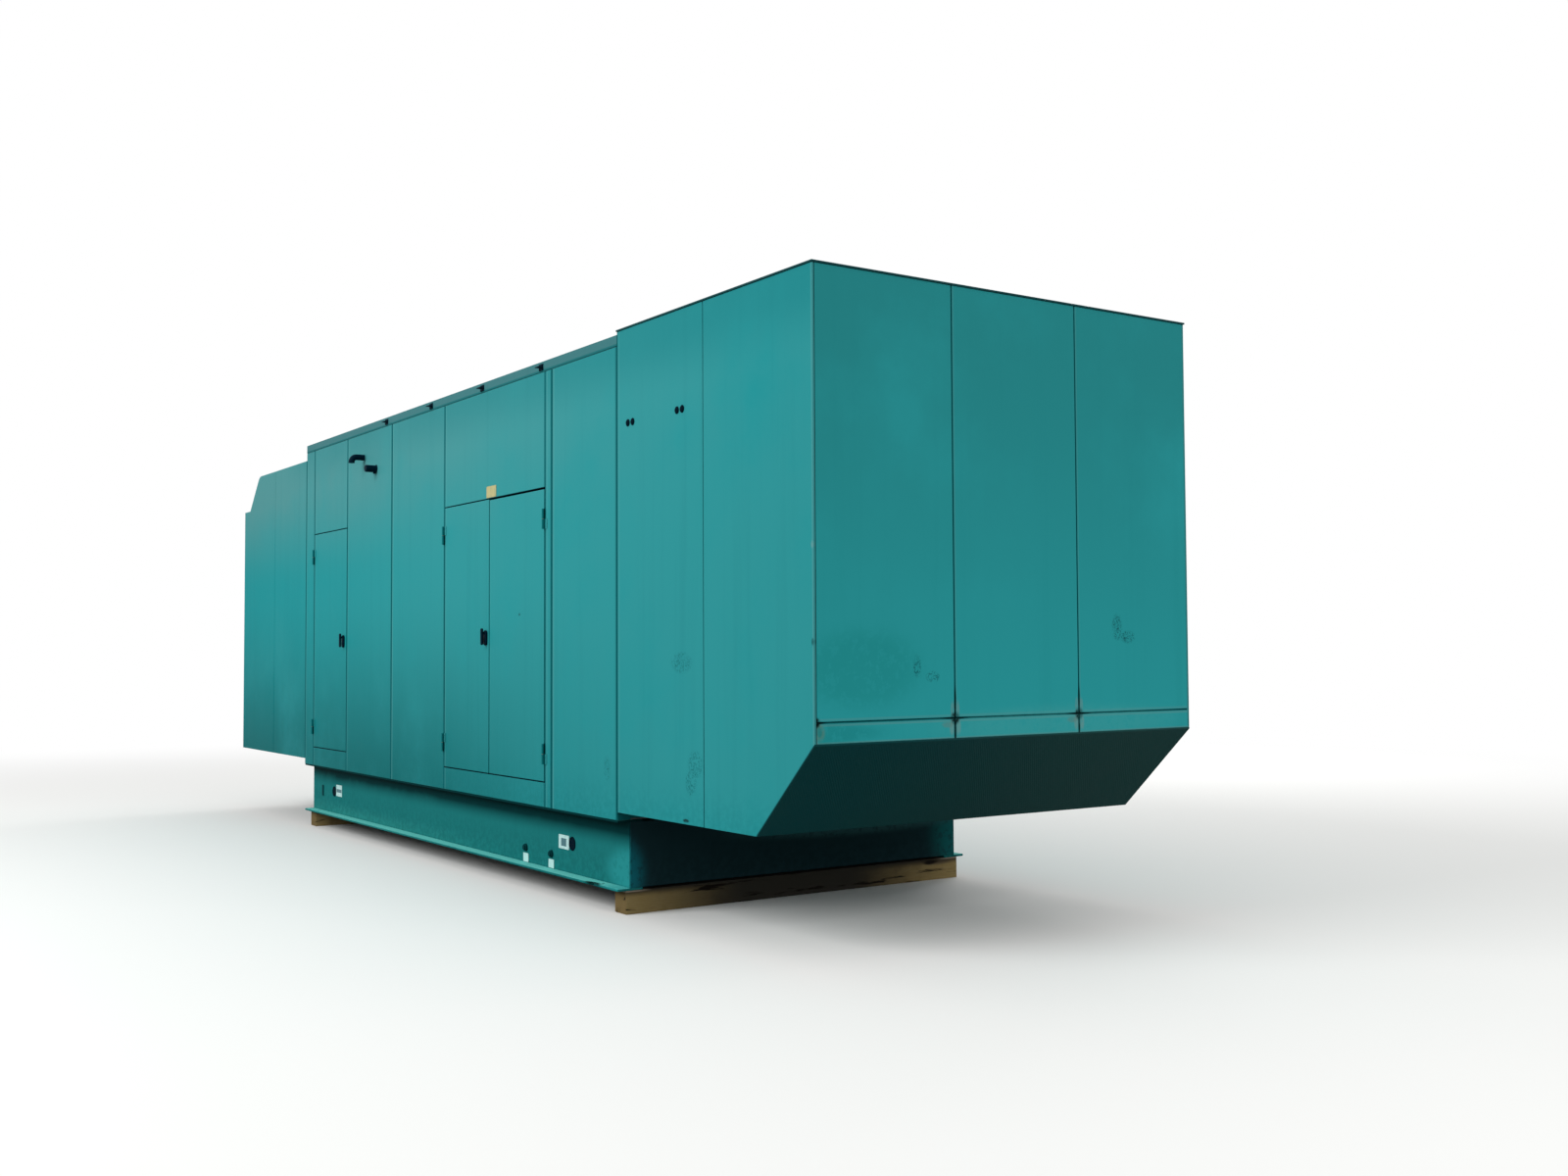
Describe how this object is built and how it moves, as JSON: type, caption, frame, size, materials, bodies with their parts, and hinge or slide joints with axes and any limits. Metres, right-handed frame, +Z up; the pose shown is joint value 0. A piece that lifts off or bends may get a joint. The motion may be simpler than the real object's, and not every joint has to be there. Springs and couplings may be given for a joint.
{
  "type": "natural gas generator set",
  "caption": "Walk-in sound-attenuated enclosure of a gas generator set on a low steel skid, with hinged doors and cantilevered air plenums at both ends.",
  "frame": {"origin": "on the ground under the middle of the enclosure, between the bearing timbers", "axes": "+X along the length towards the intake end with the sloped underside, the front with the doors faces -Y, +Z up"},
  "size_m": [10.666, 3.068, 3.725],
  "materials": {
    "painted_steel": "semi-gloss enamel over folded sheet steel",
    "roof_edge": "weathered enamel on the roof sheets",
    "black_steel": "black coated steel",
    "deck_plate": "grey tread plate",
    "screen": "fine screen sheet in shadow",
    "timber": "weathered sawn softwood",
    "tags": "blank plastic plates",
    "rubber": "black rubber plugs"
  },
  "bodies": {
    "enclosure": {"timbers": "timber", "skid_rails": "painted_steel", "skid_ends": "painted_steel", "skid_crossmembers": "painted_steel", "deck_floor": "deck_plate", "front_wall_left": "painted_steel", "front_wall_over_personnel_door": "painted_steel", "front_wall_middle": "painted_steel", "front_wall_over_double_door": "painted_steel", "front_wall_right": "painted_steel", "front_wall_sills": "painted_steel", "rear_wall": "painted_steel", "main_roof": "roof_edge", "roof_edge_trims": "roof_edge", "roof_edge_lugs": "black_steel", "intake_portal": "painted_steel", "discharge_portal": "painted_steel", "intake_front_side": "painted_steel", "intake_rear_side": "painted_steel", "intake_end_panels": "painted_steel", "intake_end_strips": "painted_steel", "intake_roof": "roof_edge", "intake_floor": "painted_steel", "intake_screen": "screen", "discharge_front_side": "painted_steel", "discharge_rear_side": "painted_steel", "discharge_end_panels": "painted_steel", "discharge_roof": "roof_edge", "discharge_ledge": "painted_steel", "discharge_floor": "painted_steel", "personnel_door_stop": "painted_steel", "double_door_stop": "painted_steel", "hinge_lower_halves": "painted_steel", "vent_fittings": "black_steel", "skid_ports": "rubber", "blank_tags": "tags", "panel_plugs": "rubber"},
    "personnel_door": {"personnel_door": "painted_steel", "personnel_handle_plate": "black_steel"},
    "personnel_handle": {"personnel_door_handle": "black_steel"},
    "left_leaf": {"double_door_left_leaf": "painted_steel", "double_handle_plate": "black_steel"},
    "double_handle": {"double_door_handle": "black_steel"},
    "right_leaf": {"double_door_right_leaf": "painted_steel"}
  },
  "joints": [
    {"name": "personnel_door_hinge", "type": "hinge", "parent": "enclosure", "child": "personnel_door", "pos_m": [-2.913, -1.4565, 1.79], "axis": [0, 0, -1], "range_deg": [0, 120]},
    {"name": "left_leaf_hinge", "type": "hinge", "parent": "enclosure", "child": "left_leaf", "pos_m": [0.335, -1.4565, 1.79], "axis": [0, 0, -1], "range_deg": [0, 120]},
    {"name": "right_leaf_hinge", "type": "hinge", "parent": "enclosure", "child": "right_leaf", "pos_m": [2.135, -1.4565, 1.79], "axis": [0, 0, 1], "range_deg": [0, 120]},
    {"name": "personnel_handle_turn", "type": "hinge", "parent": "personnel_door", "child": "personnel_handle", "pos_m": [-2.049, -1.4825, 1.811], "axis": [0, 1, 0], "range_deg": [0, 90]},
    {"name": "double_handle_turn", "type": "hinge", "parent": "left_leaf", "child": "double_handle", "pos_m": [1.145, -1.4825, 1.811], "axis": [0, 1, 0], "range_deg": [0, 90]}
  ]
}
